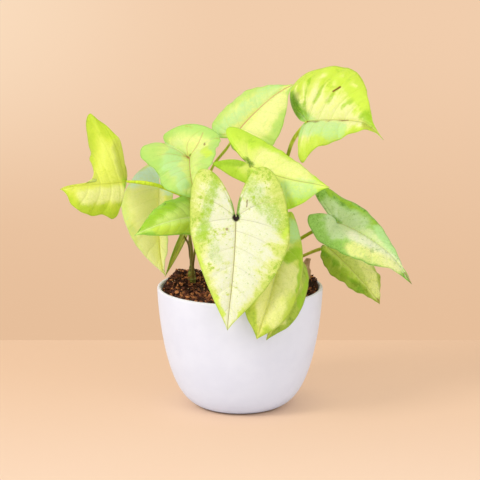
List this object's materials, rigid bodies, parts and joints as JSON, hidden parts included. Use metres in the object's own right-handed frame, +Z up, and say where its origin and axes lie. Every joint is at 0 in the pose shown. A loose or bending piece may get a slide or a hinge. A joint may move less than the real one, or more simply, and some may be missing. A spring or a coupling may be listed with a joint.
{
  "type": "potted plant",
  "caption": "Young arrowhead plant with lime, cream and mint arrow-shaped leaves on slender stalks, growing in bark potting mix in a white round-bottomed pot.",
  "frame": {"origin": "centre of the pot's flat base, on the surface it stands on", "axes": "+Z up; -Y is the front, over which the largest leaf hangs, and +X is to the right seen from the front"},
  "size_m": [0.2481, 0.1527, 0.2556],
  "materials": {
    "glazed_white": "matte",
    "potting_mix": "matte",
    "crown_green": "matte",
    "stalk_green": "satin",
    "blade_lime": "satin",
    "dry_brown": "matte"
  },
  "bodies": {
    "root": {"pot": "glazed_white", "soil": "potting_mix", "crown_left": "crown_green", "crown_middle": "crown_green", "crown_right": "crown_green", "dried_sheath": "dry_brown", "stalk_front": "stalk_green", "stalk_centre_right": "stalk_green", "stalk_top_centre": "stalk_green", "stalk_top_right": "stalk_green", "stalk_left_middle": "stalk_green", "stalk_far_left": "stalk_green", "stalk_left_back": "stalk_green", "stalk_left_low": "stalk_green", "stalk_right_low_front": "stalk_green", "stalk_right_low_back": "stalk_green", "stalk_right_upper": "stalk_green", "stalk_right_lower": "stalk_green", "stalk_young": "stalk_green", "leaf_front": "blade_lime", "leaf_centre_right": "blade_lime", "leaf_top_centre": "blade_lime", "leaf_top_right": "blade_lime", "leaf_left_middle": "blade_lime", "leaf_far_left": "blade_lime", "leaf_left_back": "blade_lime", "leaf_left_low": "blade_lime", "leaf_right_low_front": "blade_lime", "leaf_right_low_back": "blade_lime", "leaf_right_upper": "blade_lime", "leaf_right_lower": "blade_lime", "leaf_young": "blade_lime"}
  },
  "joints": []
}
